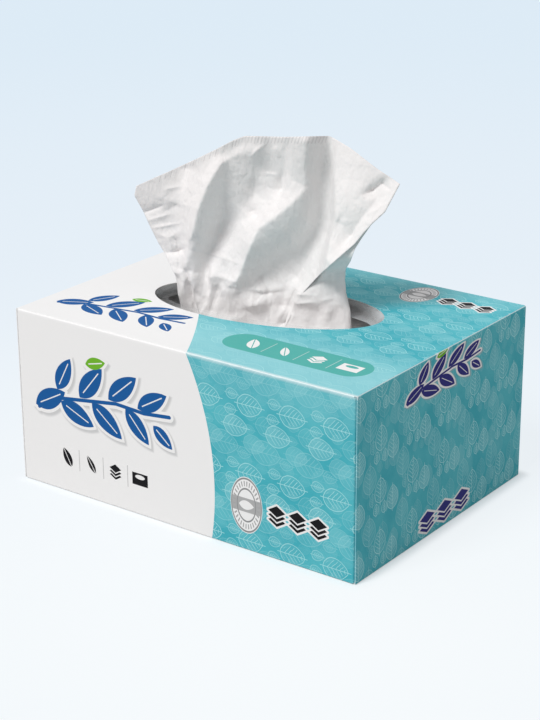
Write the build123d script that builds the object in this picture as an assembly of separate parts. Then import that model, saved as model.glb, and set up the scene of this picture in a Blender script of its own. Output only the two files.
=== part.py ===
from build123d import *
from math import cos, radians, sin, sqrt
import os

# Tissue box: a folded paperboard carton with an oval opening in its top, a clear slit film
# glued under the opening, a stack of interfolded sheets, and one sheet pulled up through the slit.
# Millimetres. The origin is at the middle of the base, +X along the box, -Y the printed front,
# +Z up.

# Stack of sheets
sheet_width = 204.0
sheet_fold_depth = 151.0
stack_height = 83.5
stack_fold_radius = 5.0
stack_edge_radius = 1.5

# Carton, and the room it leaves round the stack
board = 0.45
crease_radius = 0.9
end_clearance = 6.65
side_clearance = 5.05
headroom = 14.6
edge_gap = 0.3
flap_side_gap = 0.4
dust_flap_length = 62.0
glue_flap_width = 16.0

# Three layers of board close each end
end_wall = 3 * board
carton_length = sheet_width + 2 * (end_clearance + end_wall)
carton_depth = sheet_fold_depth + 2 * (side_clearance + board)
carton_height = stack_height + headroom + 2 * board

# Oval opening in the top panel, a little turned against the box
opening_length = 133.0
opening_width = 65.0
opening_turn = 10.8
opening_shift_x = -4.2
opening_shift_y = 2.6

# Slit film under the opening
film = 0.1
film_margin_x = 11.0
film_margin_y = 11.0
film_corner = 6.0
film_dip = 4.0
film_slope_run = 3.2
slit_length = 120.0
slit_spread = 30.0

# Sheet pulled up through the slit
sheet_thickness = 0.5
sheet_rise = 94.0
sheet_left_reach = 75.0
sheet_right_reach = 71.5
sheet_turn = 23.0
slit_clearance = 1.0
gather_height_share = 0.33

cut_overrun = 5.0

# The sheet is a run of flat panels with a soft fold between neighbours. Each panel keeps its
# width from foot to top, so the folds are deep where the sheet is gathered and shallow where
# it fans out. Panel widths are shares of the sheet width.
panel_width_shares = (
    0.095, 0.075, 0.06, 0.08, 0.07, 0.07, 0.065, 0.065, 0.04, 0.085, 0.08, 0.10, 0.115,
)
# Which way each panel runs across the sheet: 1 goes back, -1 comes forward
panel_turns = (1, -1, 1, -1, 1, -1, 1, -1, 1, 1, -1, 1, -1)
# How far along each panel the rounding of a fold reaches
fold_rounding_share = 0.36
# Where the folds lie along the sheet's line at four heights, as shares of its reach there
fold_place_shares = {
    0.00: (0.00, 0.07, 0.13, 0.18, 0.25, 0.32, 0.39, 0.46, 0.53, 0.59, 0.68, 0.77, 0.88, 1.00),
    0.20: (0.00, 0.07, 0.13, 0.17, 0.24, 0.31, 0.38, 0.46, 0.54, 0.60, 0.70, 0.79, 0.89, 1.00),
    0.50: (0.00, 0.09, 0.16, 0.21, 0.29, 0.37, 0.45, 0.52, 0.59, 0.65, 0.74, 0.79, 0.89, 1.00),
    1.00: (0.00, 0.12, 0.22, 0.30, 0.40, 0.47, 0.54, 0.60, 0.66, 0.70, 0.78, 0.81, 0.90, 1.00),
}
# Reach of the sheet to each side at several heights, as shares of its reach at the corners
left_reach_shares = {0.00: 0.67, 0.24: 0.71, 0.31: 0.78, 0.39: 0.85, 0.48: 0.91, 0.63: 1.00, 1.00: 0.97}
right_reach_shares = {0.00: 0.63, 0.16: 0.58, 0.26: 0.56, 0.35: 0.60, 0.51: 0.72, 0.68: 0.90, 0.78: 1.00, 1.00: 1.00}
# Heights of the sections that the sheet is drawn through
section_height_shares = (0.0, 0.06, 0.13, 0.20, 0.28, 0.38, 0.50, 0.64, 0.80, 1.0)
# The top edge: places along the reach and heights over the carton, as shares
top_edge_shares = (
    (-1.05, 0.61), (-0.97, 0.635), (-0.71, 0.74), (-0.53, 0.82), (-0.25, 0.935), (-0.16, 0.965),
    (0.47, 1.0), (0.62, 0.935), (0.82, 0.84), (1.0, 0.76), (1.05, 0.735),
)


def between(shares, place):
    """Read a table of shares at a place, eased between its entries."""
    stops = sorted(shares)
    for low, high in zip(stops, stops[1:]):
        if place <= high:
            step = (place - low) / (high - low)
            ease = step * step * (3 - 2 * step)
            return shares[low] + (shares[high] - shares[low]) * ease
    return shares[stops[-1]]


def shifted_right(points, distance):
    """The same bent line, moved to its own right-hand side."""
    corners = [Vector(*point) for point in points]
    sides = [(end - start).normalized().rotate(Axis.Z, -90) for start, end in zip(corners, corners[1:])]
    before = [sides[0]] + sides
    after = sides + [sides[-1]]
    return [
        corner + (one + two) * (distance / (1 + one.dot(two)))
        for corner, one, two in zip(corners, before, after)
    ]


def folded_board(points, plane, width):
    """A strip of board bent along points, its thickness to the right of them."""
    outside = FilletPolyline(*points, radius=crease_radius)
    inside = FilletPolyline(*shifted_right(points, board), radius=crease_radius - board)
    ends = [Line(outside @ 0, inside @ 0), Line(outside @ 1, inside @ 1)]
    section = make_face(outside.edges() + inside.edges() + ends)
    return extrude(plane * section, width / 2, both=True)


def oval(length, width, plane):
    return plane * Ellipse(length / 2, width / 2)


def opening_middle(height):
    return Plane.XY.offset(height) * Pos(opening_shift_x, opening_shift_y)


def opening_plane(height):
    return opening_middle(height) * Rot(0, 0, opening_turn)


def make_carton():
    half_length = carton_length / 2
    half_depth = carton_depth / 2

    # Back, top, front and bottom panels, with the glue flap turned up inside the back
    tube = folded_board(
        [
            (half_depth, edge_gap),
            (half_depth, carton_height),
            (-half_depth, carton_height),
            (-half_depth, 0),
            (half_depth - board, 0),
            (half_depth - board, glue_flap_width),
        ][::-1],
        Plane.YZ,
        carton_length - 2 * (2 * board + crease_radius),
    )
    # Outer end flaps, turned down from the top panel to just above the base
    outer_flaps = folded_board(
        [
            (-half_length, edge_gap),
            (-half_length, carton_height),
            (half_length, carton_height),
            (half_length, edge_gap),
        ],
        Plane.XZ,
        carton_depth - 2 * flap_side_gap,
    )
    # Inner end flaps, turned up from the bottom panel
    inner_length = half_length - board
    inner_top = carton_height - board - edge_gap
    inner_flaps = folded_board(
        [(inner_length, inner_top), (inner_length, 0), (-inner_length, 0), (-inner_length, inner_top)],
        Plane.XZ,
        carton_depth - 2 * (board + flap_side_gap),
    )
    # Dust flaps, turned in from the front and back panels
    dust_length = half_length - 2 * board
    dust_reach = half_depth - dust_flap_length
    dust_height = carton_height - 2 * (board + edge_gap)
    dust_plane = Plane.XY.offset(carton_height / 2)
    front_flaps = folded_board(
        [
            (dust_length, -dust_reach),
            (dust_length, -half_depth),
            (-dust_length, -half_depth),
            (-dust_length, -dust_reach),
        ],
        dust_plane,
        dust_height,
    )
    back_flaps = mirror(front_flaps, Plane.XZ)

    # The creases along the box round the flaps' corners too
    envelope = extrude(
        Plane.YZ
        * Pos(0, carton_height / 2)
        * RectangleRounded(carton_depth, carton_height, crease_radius),
        half_length,
        both=True,
    )
    carton = tube + (outer_flaps & envelope) + (inner_flaps & envelope) + front_flaps + back_flaps
    cutter = extrude(
        oval(opening_length, opening_width, opening_plane(carton_height - cut_overrun)),
        2 * cut_overrun,
    )
    return carton - cutter


def make_slit_film():
    """Flat where it is glued, then dipping to a shallow floor with the spread slit in it."""
    glued = carton_height - board
    low = glued - film_dip
    floor_length = opening_length - 2 * film_slope_run
    floor_width = opening_width - 2 * film_slope_run
    dish = loft(
        [
            oval(floor_length, floor_width, opening_plane(low)),
            oval(opening_length, opening_width, opening_plane(glued)),
        ]
    )
    ring = extrude(
        opening_middle(glued)
        * RectangleRounded(
            opening_length + 2 * film_margin_x, opening_width + 2 * film_margin_y, film_corner
        ),
        -film,
    )
    slit = extrude(oval(slit_length, slit_spread, opening_plane(low - cut_overrun)), 2 * cut_overrun)
    return ring + dish - Pos(0, 0, film) * dish - slit


def make_tissue_stack():
    """Interfolded sheets as one block: soft fold edges in front and behind, cut ends."""
    section = Plane.YZ * Pos(0, board + stack_height / 2) * RectangleRounded(
        sheet_fold_depth, stack_height, stack_fold_radius
    )
    block = extrude(section, sheet_width / 2, both=True)
    ends = block.faces().filter_by(Axis.X)
    return chamfer(ends.edges(), stack_edge_radius)


def fold_points(height_share):
    """Corners of the folded sheet at one height, from its left edge to its right."""
    left = -sheet_left_reach * between(left_reach_shares, height_share)
    right = sheet_right_reach * between(right_reach_shares, height_share)
    along = []
    for index in range(len(panel_width_shares) + 1):
        column = {stop: shares[index] for stop, shares in fold_place_shares.items()}
        along.append(left + (right - left) * between(column, height_share))
    across = [0.0]
    for index, share in enumerate(panel_width_shares):
        width = share * sheet_width
        run = along[index + 1] - along[index]
        depth = sqrt(max(width * width - run * run, 0.0))
        across.append(across[-1] + panel_turns[index] * depth)
    middle = (max(across) + min(across)) / 2

    foot = board + stack_height
    height = foot + (carton_height + sheet_rise - foot) * height_share
    over_rim = min(max((height - carton_height) / sheet_rise, 0.0), 1.0)
    turn = radians(opening_turn + (sheet_turn - opening_turn) * over_rim)
    points = []
    for place, depth in zip(along, across):
        depth -= middle
        # The slit gathers the folds at the foot, most of all near its ends
        reach = min(abs(place) / (slit_length / 2), 1.0)
        room = max((slit_spread / 2) * sqrt(1 - reach * reach) - slit_clearance, slit_clearance)
        gather = min(room / max(abs(depth), room), 1.0)
        depth *= gather + (1 - gather) * min(over_rim / gather_height_share, 1.0)
        points.append(
            Vector(
                opening_shift_x + place * cos(turn) - depth * sin(turn),
                opening_shift_y + place * sin(turn) + depth * cos(turn),
                height,
            )
        )
    return points


def soft_folds(points):
    """Edges along the points: straight in the panels, rounded over each fold."""
    edges = []
    start = points[0]
    for before, corner, after in zip(points, points[1:], points[2:]):
        enter = corner + (before - corner) * fold_rounding_share
        leave = corner + (after - corner) * fold_rounding_share
        edges.append(Edge.make_line(start, enter))
        edges.append(Edge.make_bezier(enter, corner, leave))
        start = leave
    return edges + [Edge.make_line(start, points[-1])]


def sheet_section(height_share):
    """The gathered sheet cut level at one height: a thin band between two folded lines."""
    points = fold_points(height_share)
    front = shifted_right(points, sheet_thickness / 2)
    back = shifted_right(points, -sheet_thickness / 2)
    ends = [Edge.make_line(front[-1], back[-1]), Edge.make_line(back[0], front[0])]
    return Face(Wire(soft_folds(front) + [ends[0]] + soft_folds(back) + [ends[1]]))


def make_pop_up_tissue():
    """One two-ply sheet, drawn through its level sections and trimmed along its top edge."""
    sheet = loft([sheet_section(share) for share in section_height_shares], ruled=True)
    edge = []
    for reach_share, height_share in top_edge_shares:
        reach = sheet_left_reach if reach_share < 0 else sheet_right_reach
        edge.append((reach * reach_share, carton_height + sheet_rise * height_share))
    over = carton_height + sheet_rise + cut_overrun
    outline = Polyline(*edge, (edge[-1][0], over), (edge[0][0], over), close=True)
    turn = radians(sheet_turn)
    facing = Plane((opening_shift_x, opening_shift_y, 0), (cos(turn), sin(turn), 0), (sin(turn), -cos(turn), 0))
    return sheet - extrude(facing * make_face(outline), carton_depth, both=True)


solids = {
    "carton": make_carton(),
    "slit_film": make_slit_film(),
    "tissue_stack": make_tissue_stack(),
    "pop_up_tissue": make_pop_up_tissue(),
}

os.makedirs("parts", exist_ok=True)
for name, solid in solids.items():
    export_step(solid, f"parts/{name}.step")
    print(name, "volume", round(solid.volume, 1), "valid", solid.is_valid)
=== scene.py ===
import math
import bmesh
import bpy
import numpy as np
from mathutils import Matrix, Vector, noise


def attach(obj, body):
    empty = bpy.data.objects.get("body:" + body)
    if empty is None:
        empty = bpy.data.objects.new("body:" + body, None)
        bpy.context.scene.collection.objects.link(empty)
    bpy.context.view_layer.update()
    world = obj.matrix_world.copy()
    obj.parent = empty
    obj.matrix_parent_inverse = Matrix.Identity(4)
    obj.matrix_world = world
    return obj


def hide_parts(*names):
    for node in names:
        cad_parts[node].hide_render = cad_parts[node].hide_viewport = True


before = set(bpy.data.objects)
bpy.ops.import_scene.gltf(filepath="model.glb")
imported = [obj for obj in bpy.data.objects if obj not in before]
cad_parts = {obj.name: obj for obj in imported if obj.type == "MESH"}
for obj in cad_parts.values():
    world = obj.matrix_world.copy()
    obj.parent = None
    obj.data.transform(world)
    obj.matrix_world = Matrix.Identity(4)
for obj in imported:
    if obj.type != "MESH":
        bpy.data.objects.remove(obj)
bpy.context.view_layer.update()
mm = 0.001
origin = (0.0, 0.0, 0.0)
sheetWidth = 204.0
scene = bpy.context.scene
scene.view_settings.view_transform = "Standard"
print("frame loaded:", ", ".join(sorted(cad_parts)))


def fill(tree, socket, value):
    if isinstance(value, bpy.types.NodeSocket):
        tree.links.new(value, socket)
    elif value is not None:
        socket.default_value = value


def fillNamed(tree, sockets, values):
    for label, value in values.items():
        fill(tree, sockets[label], value)


def newNode(tree, kind, *given, named=None, **settings):
    # settings come first, then the given values in the order of the inputs, then the named ones
    node = tree.nodes.new(kind)
    for label, value in settings.items():
        setattr(node, label, value)
    for socket, value in zip(node.inputs, given):
        fill(tree, socket, value)
    fillNamed(tree, node.inputs, named or {})
    return node


def mathNode(tree, operation, *given):
    return newNode(tree, "ShaderNodeMath", *given, operation=operation).outputs[0]


def chain(tree, operation, items):
    total = items[0]
    for item in items[1:]:
        total = mathNode(tree, operation, total, item)
    return total


def plus(tree, *items):
    return chain(tree, "ADD", items)


def times(tree, *items):
    return chain(tree, "MULTIPLY", items)


def larger(tree, *items):
    return chain(tree, "MAXIMUM", items)


def smaller(tree, *items):
    return chain(tree, "MINIMUM", items)


def minus(tree, a, b):
    return mathNode(tree, "SUBTRACT", a, b)


def divide(tree, a, b):
    return mathNode(tree, "DIVIDE", a, b)


def linear(tree, value, factor, offset):
    return mathNode(tree, "MULTIPLY_ADD", value, factor, offset)


def absolute(tree, value):
    return mathNode(tree, "ABSOLUTE", value)


def isAbove(tree, value, limit):
    return mathNode(tree, "GREATER_THAN", value, limit)


def isBelow(tree, value, limit):
    return mathNode(tree, "LESS_THAN", value, limit)


def vectorNode(tree, operation, *given, scale=None):
    named = {} if scale is None else {"Scale": scale}
    node = newNode(tree, "ShaderNodeVectorMath", *given, named=named, operation=operation)
    return node.outputs["Value" if operation in ("LENGTH", "DISTANCE", "DOT_PRODUCT") else "Vector"]


def splitXYZ(tree, vector):
    return tuple(newNode(tree, "ShaderNodeSeparateXYZ", vector).outputs)


def joinXYZ(tree, x, y, z=0.0):
    return newNode(tree, "ShaderNodeCombineXYZ", x, y, z).outputs[0]


def ramp(tree, value, low, high, toLow=0.0, toHigh=1.0):
    given = (value, low, high, toLow, toHigh)
    return newNode(tree, "ShaderNodeMapRange", *given, interpolation_type="SMOOTHSTEP").outputs[0]


def inside(tree, value, edge, soft):
    # 1 below the edge, 0 past it
    return ramp(tree, value, edge - soft, edge + soft, 1.0, 0.0)


def mixColour(tree, share, under, over):
    named = {"Factor": share, "A": under, "B": over}
    return newNode(tree, "ShaderNodeMix", named=named, data_type="RGBA").outputs["Result"]


def mixShaders(tree, share, under, over):
    return newNode(tree, "ShaderNodeMixShader", share, under, over).outputs[0]


def noiseNode(tree, vector, scale, detail=3.0, roughness=0.5):
    named = {"Vector": vector, "Scale": scale, "Detail": detail, "Roughness": roughness}
    return newNode(tree, "ShaderNodeTexNoise", named=named).outputs["Fac"]


def openGroup(name, **inputs):
    # each input by its default: a tuple makes a vector input, a number a float input
    tree = bpy.data.node_groups.new(name, "ShaderNodeTree")
    for label, value in inputs.items():
        kind = "NodeSocketVector" if isinstance(value, tuple) else "NodeSocketFloat"
        tree.interface.new_socket(label, in_out="INPUT", socket_type=kind).default_value = value
    return tree, tree.nodes.new("NodeGroupInput").outputs


def closeGroup(tree, **results):
    for label in results:
        tree.interface.new_socket(label, in_out="OUTPUT", socket_type="NodeSocketFloat")
    newNode(tree, "NodeGroupOutput", named=results)
    return tree


def useGroup(tree, group, **values):
    return newNode(tree, "ShaderNodeGroup", named=values, node_tree=group).outputs


def newMaterial(name):
    material = bpy.data.materials.new(name)
    material.use_nodes = True
    return material, material.node_tree, material.node_tree.nodes["Principled BSDF"]


def objectMillimetres(tree):
    place = tree.nodes.new("ShaderNodeTexCoord").outputs["Object"]
    return vectorNode(tree, "SCALE", place, scale=1000.0)


def bumpInto(tree, shader, height, strength, distance):
    named = {"Height": height, "Strength": strength, "Distance": distance}
    node = newNode(tree, "ShaderNodeBump", named=named)
    tree.links.new(node.outputs["Normal"], shader.inputs["Normal"])


cameraValues = {
    "place": (0.55399, -0.74867, 0.41987),
    "look": (-0.55700, 0.75177, -0.35298),
    "up": (-0.20523, 0.28725, 0.93561),
    "lens": 92.09,
    "sensor": 36.0,
}
lampValues = {
    "keyFrom": (-0.14, -0.62, 0.77),
    "keyStrength": 2.08,
    "keySpread": 22.0,
    "keyColour": (1.0, 0.995, 0.985),
    "skyStrength": 0.52,
    "skyColour": (1.0, 0.974, 0.977),
}
floorValues = {
    "reach": 6.0,
    "nearColour": (0.925, 0.960, 0.980, 1.0),
    "middleColour": (0.790, 0.865, 0.935, 1.0),
    "farColour": (0.723, 0.831, 0.922, 1.0),
    "middleAt": 0.62,
    "farFrom": 0.372,
    "farAt": 1.6,
    "centre": (0.10, -0.13),
    "litShare": 0.12,
    "litUnder": 0.60,
    "underReach": 0.008,
    "foot": (0.110, 0.081),
    "bounce": 0.50,
}


def makeCamera(values):
    data = bpy.data.cameras.new("photoCamera")
    data.lens = values["lens"]
    data.sensor_width = values["sensor"]
    camera = bpy.data.objects.new("photoCamera", data)
    look = Vector(values["look"]).normalized()
    right = look.cross(Vector(values["up"])).normalized()
    up = right.cross(look)
    turn = Matrix((right, up, -look)).transposed().to_4x4()
    camera.matrix_world = Matrix.Translation(values["place"]) @ turn
    scene.collection.objects.link(camera)
    scene.camera = camera


def makeLamps(values):
    data = bpy.data.lights.new("keyLamp", "SUN")
    data.energy = values["keyStrength"]
    data.angle = math.radians(values["keySpread"])
    data.color = values["keyColour"]
    lamp = bpy.data.objects.new("keyLamp", data)
    lamp.rotation_euler = Vector(values["keyFrom"]).to_track_quat("Z", "Y").to_euler()
    scene.collection.objects.link(lamp)


def seenByEye(tree):
    rays = tree.nodes.new("ShaderNodeLightPath").outputs
    return larger(tree, rays["Is Camera Ray"], rays["Is Glossy Ray"], rays["Is Transmission Ray"])


def makeSky(values, floor):
    world = bpy.data.worlds.new("studioSky")
    world.use_nodes = True
    scene.world = world
    tree = world.node_tree
    light = tree.nodes["Background"]
    colour = (*values["skyColour"], 1.0)
    fillNamed(tree, light.inputs, {"Color": colour, "Strength": values["skyStrength"]})
    seen = newNode(tree, "ShaderNodeBackground", floor["farColour"])
    shown = mixShaders(tree, seenByEye(tree), light.outputs[0], seen.outputs[0])
    tree.links.new(shown, tree.nodes["World Output"].inputs["Surface"])


def makeFloor(values):
    reach = values["reach"]
    mesh = bpy.data.meshes.new("studioFloor")
    corners = [(-reach, -reach, 0), (reach, -reach, 0), (reach, reach, 0), (-reach, reach, 0)]
    mesh.from_pydata(corners, [], [(0, 1, 2, 3)])
    floor = bpy.data.objects.new("studioFloor", mesh)
    scene.collection.objects.link(floor)
    material, tree, shader = newMaterial("paleFloor")
    place = tree.nodes.new("ShaderNodeTexCoord").outputs["Object"]
    away = vectorNode(tree, "DISTANCE", place, (*values["centre"], 0.0))
    near = ramp(tree, away, 0.0, values["middleAt"])
    far = ramp(tree, away, values["farFrom"], values["farAt"])
    colour = mixColour(tree, near, values["nearColour"], values["middleColour"])
    colour = mixColour(tree, far, colour, values["farColour"])
    lit = newNode(tree, "ShaderNodeBsdfDiffuse", colour).outputs[0]
    glow = newNode(tree, "ShaderNodeEmission", colour).outputs[0]
    # close to the box the floor takes more of the real shadow
    beside = vectorNode(tree, "SUBTRACT", vectorNode(tree, "ABSOLUTE", place), (*values["foot"], 0.0))
    beside = vectorNode(tree, "LENGTH", vectorNode(tree, "MAXIMUM", beside, origin))
    share = ramp(tree, beside, 0.0, values["underReach"], values["litUnder"], values["litShare"])
    bounce = values["bounce"]
    dim = newNode(tree, "ShaderNodeBsdfDiffuse", (bounce, bounce, bounce, 1.0)).outputs[0]
    shown = mixShaders(tree, seenByEye(tree), dim, mixShaders(tree, share, glow, lit))
    tree.links.new(shown, tree.nodes["Material Output"].inputs["Surface"])
    tree.nodes.remove(shader)
    mesh.materials.append(material)


makeCamera(cameraValues)
makeLamps(lampValues)
makeSky(lampValues, floorValues)
makeFloor(floorValues)
print("camera, lamps and floor made")


def fibreGroup():
    # short random fibres and a soft mottle, as on paper and board
    tree, given = openGroup("paperFibre", Point=origin, Size=1.0)
    inverse = divide(tree, 1.0, given["Size"])
    point = vectorNode(tree, "SCALE", given["Point"], scale=inverse)
    first = noiseNode(tree, vectorNode(tree, "MULTIPLY", point, (0.35, 1.6, 1.6)), 1.0, 4.0, 0.6)
    second = noiseNode(tree, vectorNode(tree, "MULTIPLY", point, (1.6, 0.9, 0.35)), 1.0, 4.0, 0.6)
    return closeGroup(tree, Mottle=noiseNode(tree, point, 0.12), Fibre=larger(tree, first, second))


fibre = fibreGroup()


cartonSize = {"length": 220.0, "depth": 162.0, "height": 99.0, "crease": 0.9, "printDepth": 0.12}
inks = {
    "white": (0.865, 0.868, 0.868, 1.0),
    "teal": (0.100, 0.490, 0.560, 1.0),
    "tealDeep": (0.062, 0.425, 0.505, 1.0),
    "tealPale": (0.330, 0.680, 0.730, 1.0),
    "tealLine": (0.380, 0.730, 0.760, 1.0),
    "capsule": (0.080, 0.430, 0.385, 1.0),
    "blue": (0.014, 0.105, 0.330, 1.0),
    "indigo": (0.030, 0.030, 0.190, 1.0),
    "green": (0.165, 0.450, 0.030, 1.0),
    "grey": (0.400, 0.410, 0.420, 1.0),
    # the next ink is a painted highlight beside the crease between the front and the top
    "paintedCreaseHighlight": (0.960, 0.960, 0.960, 1.0),
    "sealGrey": (0.270, 0.275, 0.280, 1.0),
    "black": (0.012, 0.012, 0.014, 1.0),
    "board": (0.330, 0.325, 0.315, 1.0),
    "boardLight": (0.430, 0.425, 0.410, 1.0),
    "boardFibre": (0.620, 0.615, 0.600, 1.0),
    "boardEdge": (0.800, 0.800, 0.790, 1.0),
}
# the white field ends along a circle on each side: centre and radius on that side
sweeps = {
    "front": ((-135.2, 27.0), 159.0),
    "top": ((-417.5, -315.7), 485.4),
    "left": ((-65.0, 14.0), 151.0),
    "back": ((-190.0, -30.0), 114.9),
}
# emblem drawn in its own 100 x 44 mm field: place, turn in degrees, length, width
sprigBlue = [
    (-39, -6, 28, 26, 12), (-28, 11, 62, 23, 10.5), (-19, -11, -22, 26, 12), (-8, 10, 50, 27, 12),
    (3, -10, -38, 27, 12), (15, 12, 40, 27, 11.5), (25, -8, -48, 24, 10.5), (36, 9, 30, 24, 10.5),
    (43, -10, -40, 17, 8),
]
sprigStem = [(-48, -13), (-30, -4), (-10, -1), (10, 2), (30, 1), (48, 3)]
sprigGreen = [(-4, 22.5, 14, 15, 7)]


def leafGroup():
    # distance in mm to a pointed oval leaf, negative inside, and the point in the leaf's own frame
    tree, given = openGroup("leafShape", Point=origin, Place=origin, Turn=0.0, Length=16.0, Width=12.0)
    local = vectorNode(tree, "SUBTRACT", given["Point"], given["Place"])
    angle = times(tree, given["Turn"], -math.pi / 180)
    named = {"Vector": local, "Angle": angle}
    spin = newNode(tree, "ShaderNodeVectorRotate", named=named, rotation_type="Z_AXIS")
    along, across, none = splitXYZ(tree, spin.outputs[0])
    off = absolute(tree, across)
    half = times(tree, given["Length"], 0.5)
    fat = times(tree, given["Width"], 0.5)
    # fuller towards the stalk than towards the tip
    taper = linear(tree, divide(tree, along, given["Length"]), 0.36, 1.0)
    side = times(tree, off, taper)
    squares = plus(tree, times(tree, half, half), times(tree, fat, fat))
    radius = divide(tree, squares, times(tree, fat, 2.0))
    shift = minus(tree, radius, fat)
    reach = vectorNode(tree, "LENGTH", joinXYZ(tree, along, plus(tree, side, shift)))
    return closeGroup(tree, Distance=minus(tree, reach, radius), Along=along, Across=off)


leafShape = leafGroup()


def leafLineGroup():
    # one drawn leaf: outline, midrib with its stalk, and slanting veins
    tree, given = openGroup(
        "leafDrawing", Point=origin, Length=16.0, Width=12.0, Line=0.25, Veins=2.6, Stalk=2.0)
    leaf = useGroup(tree, leafShape, Point=given["Point"], Length=given["Length"], Width=given["Width"])
    distance, along, across = leaf["Distance"], leaf["Along"], leaf["Across"]
    soft = plus(tree, given["Line"], 0.12)

    def stroke(gap):
        return ramp(tree, gap, given["Line"], soft, 1.0, 0.0)

    slant = linear(tree, across, -0.85, along)
    halfGap = times(tree, given["Veins"], 0.5)
    step = mathNode(tree, "WRAP", slant, halfGap, times(tree, halfGap, -1.0))
    veins = times(tree, stroke(absolute(tree, step)), ramp(tree, distance, -1.3, -0.9, 1.0, 0.0))
    reach = linear(tree, given["Length"], 0.5, given["Stalk"])
    rib = times(tree, stroke(across), isBelow(tree, absolute(tree, along), reach))
    lines = larger(tree, stroke(absolute(tree, distance)), veins, rib)
    return closeGroup(tree, Lines=lines, Inside=inside(tree, distance, 0.0, 0.1))


leafDrawing = leafLineGroup()

# leaves of one repeat: place in it, length, width, line width, how strong, how much the leaf is filled
leafRepeat = [
    (0.0, 0.0, 15.2, 11.4, 0.13, 0.90, 0.10),
    (-8.8, -12.6, 14.8, 11.0, 0.13, 0.80, 0.26),
    (-10.8, 4.2, 7.2, 5.4, 0.11, 0.65, 0.12),
    (-11.7, -4.2, 7.2, 5.4, 0.11, 0.65, 0.12),
    (10.0, -23.0, 17.5, 12.6, 0.14, 0.34, 0.12),
    (-3.5, -26.0, 8.0, 6.0, 0.10, 0.34, 0.08),
]


def leafPatternGroup():
    tree, given = openGroup("leafPattern", Point=origin, Across=26.0, Up=37.0)
    wobble = linear(tree, noiseNode(tree, given["Point"], 0.35, 2.0), 1.2, -0.6)
    x, y, z = splitXYZ(tree, vectorNode(tree, "ADD", given["Point"], joinXYZ(tree, wobble, 0.0)))
    ends = [[times(tree, given[name], half) for half in (0.5, -0.5)] for name in ("Across", "Up")]
    fills, drawn = [], []
    for left, up, length, width, line, strength, filled in leafRepeat:
        u = mathNode(tree, "WRAP", minus(tree, x, left), *ends[0])
        v = mathNode(tree, "WRAP", minus(tree, y, up), *ends[1])
        leaf = useGroup(
            tree, leafDrawing, Point=joinXYZ(tree, u, v), Length=length, Width=width, Line=line,
            Veins=length / 6.2, Stalk=length / 9,
        )
        fills.append(times(tree, leaf["Inside"], filled))
        drawn.append(times(tree, leaf["Lines"], strength))
    return closeGroup(tree, Pale=larger(tree, *fills), Line=larger(tree, *drawn))


leafPattern = leafPatternGroup()


def sprigDistanceGroup():
    # distances to the blue leaves with their stem, and to the green leaf
    tree, given = openGroup("sprigShape", Point=origin)

    def leaves(table):
        found = []
        for x, y, turn, length, width in table:
            size = {"Turn": turn, "Length": length, "Width": width}
            leaf = useGroup(tree, leafShape, Point=given["Point"], Place=(x, y, 0), **size)
            # a narrow clear vein down each leaf
            vein = minus(tree, 0.32, leaf["Across"])
            short = minus(tree, absolute(tree, leaf["Along"]), length * 0.34)
            cut = times(tree, larger(tree, times(tree, vein, -1.0), short), -1.0)
            found.append(larger(tree, leaf["Distance"], cut))
        return smaller(tree, *found)

    stem = []
    for (x0, y0), (x1, y1) in zip(sprigStem, sprigStem[1:]):
        run = Vector((x1 - x0, y1 - y0, 0))
        local = vectorNode(tree, "SUBTRACT", given["Point"], (x0, y0, 0))
        share = divide(tree, vectorNode(tree, "DOT_PRODUCT", local, tuple(run)), run.length_squared)
        share = smaller(tree, larger(tree, share, 0.0), 1.0)
        foot = vectorNode(tree, "SCALE", tuple(run), scale=share)
        stem.append(minus(tree, vectorNode(tree, "DISTANCE", local, foot), 1.1))
    blue = smaller(tree, leaves(sprigBlue), smaller(tree, *stem))
    return closeGroup(tree, Blue=blue, Green=leaves(sprigGreen))


sprigShape = sprigDistanceGroup()


def sprigInkGroup():
    tree, given = openGroup("sprigPrint", Point=origin)
    shape = useGroup(tree, sprigShape, Point=given["Point"])
    cast = useGroup(tree, sprigShape, Point=vectorNode(tree, "ADD", given["Point"], (-1.3, 1.3, 0)))
    both = smaller(tree, shape["Blue"], shape["Green"])
    far = smaller(tree, cast["Blue"], cast["Green"])
    return closeGroup(
        tree,
        Blue=inside(tree, shape["Blue"], 0.0, 0.12),
        Green=inside(tree, shape["Green"], 0.0, 0.12),
        Rim=ramp(tree, both, 1.7, 1.95, 1.0, 0.0),
        Shadow=ramp(tree, far, 1.0, 3.2, 1.0, 0.0),
    )


sprigPrint = sprigInkGroup()


def sealGroup():
    # a plain round seal in its own frame of radius 1: rings, rays and a band with a leaf
    tree, given = openGroup("sealPrint", Point=origin)
    x, y, z = splitXYZ(tree, given["Point"])
    away = vectorNode(tree, "LENGTH", given["Point"])
    angle = mathNode(tree, "ARCTAN2", y, x)

    def ring(radius, half):
        gap = absolute(tree, minus(tree, away, radius))
        return ramp(tree, gap, half, half + 0.02, 1.0, 0.0)

    rays = mathNode(tree, "SINE", times(tree, angle, 30.0))
    rays = ramp(tree, rays, 0.2, 0.5)
    between = times(tree, ramp(tree, away, 0.66, 0.68), inside(tree, away, 0.85, 0.01))
    rays = times(tree, times(tree, rays, between), 0.8)
    band = times(tree, inside(tree, absolute(tree, y), 0.25, 0.01), inside(tree, away, 0.93, 0.01))
    leaf = useGroup(tree, leafShape, Point=given["Point"], Length=0.9, Width=0.30)
    band = times(tree, band, ramp(tree, leaf["Distance"], 0.0, 0.02))
    band = times(tree, band, 0.75)
    grey = larger(tree, ring(0.94, 0.022), ring(0.58, 0.02), rays, band)
    return closeGroup(tree, Disc=inside(tree, away, 1.0, 0.01), Grey=grey)


sealPrint = sealGroup()


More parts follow.
